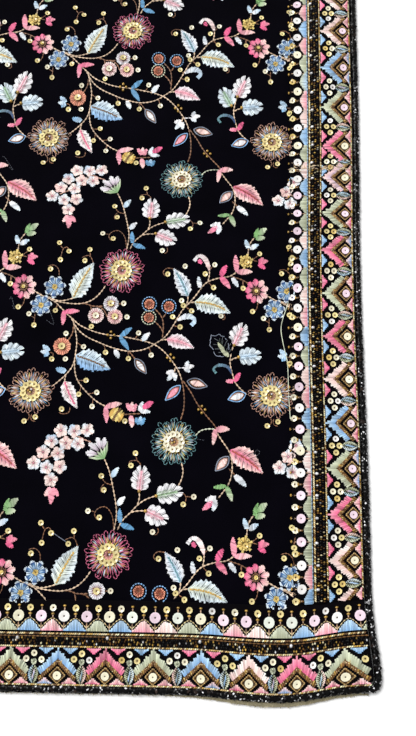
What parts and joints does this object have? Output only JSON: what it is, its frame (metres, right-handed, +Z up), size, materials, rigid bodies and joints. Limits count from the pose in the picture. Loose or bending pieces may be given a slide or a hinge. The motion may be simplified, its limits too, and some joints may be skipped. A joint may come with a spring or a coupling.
{
  "type": "embroidered velvet shawl",
  "caption": "Rectangular black velvet shawl laid out flat, with a flowered field, four embroidered and beaded trim bands and a beaded edging.",
  "frame": {"origin": "middle of the shawl, on the surface that it lies on", "axes": "+Z up out of the face, +Y along the length, +X across the width"},
  "size_m": [0.7192, 2.0426, 0.0061],
  "materials": {
    "velvet": "matt cotton velvet pile",
    "band_cloth": "short velvet ground of the trim",
    "black_beads": "gloss opaque black cut beads",
    "facing": "matt beige tape",
    "threads": "silky embroidery thread in many colours",
    "gold_thread": "metallic gold thread",
    "sequins": "gloss gold and pearl sequins",
    "gold_beads": "gloss brown and gold tube beads"
  },
  "bodies": {
    "root": {"field_panel": "velvet", "side_band_right": "band_cloth", "side_band_left": "band_cloth", "end_band_front": "band_cloth", "end_band_back": "band_cloth", "side_edging_right": "black_beads", "side_edging_left": "black_beads", "hem_edging_front": "black_beads", "hem_edging_back": "black_beads", "hem_facing_front": "facing", "hem_facing_back": "facing"}
  },
  "joints": []
}
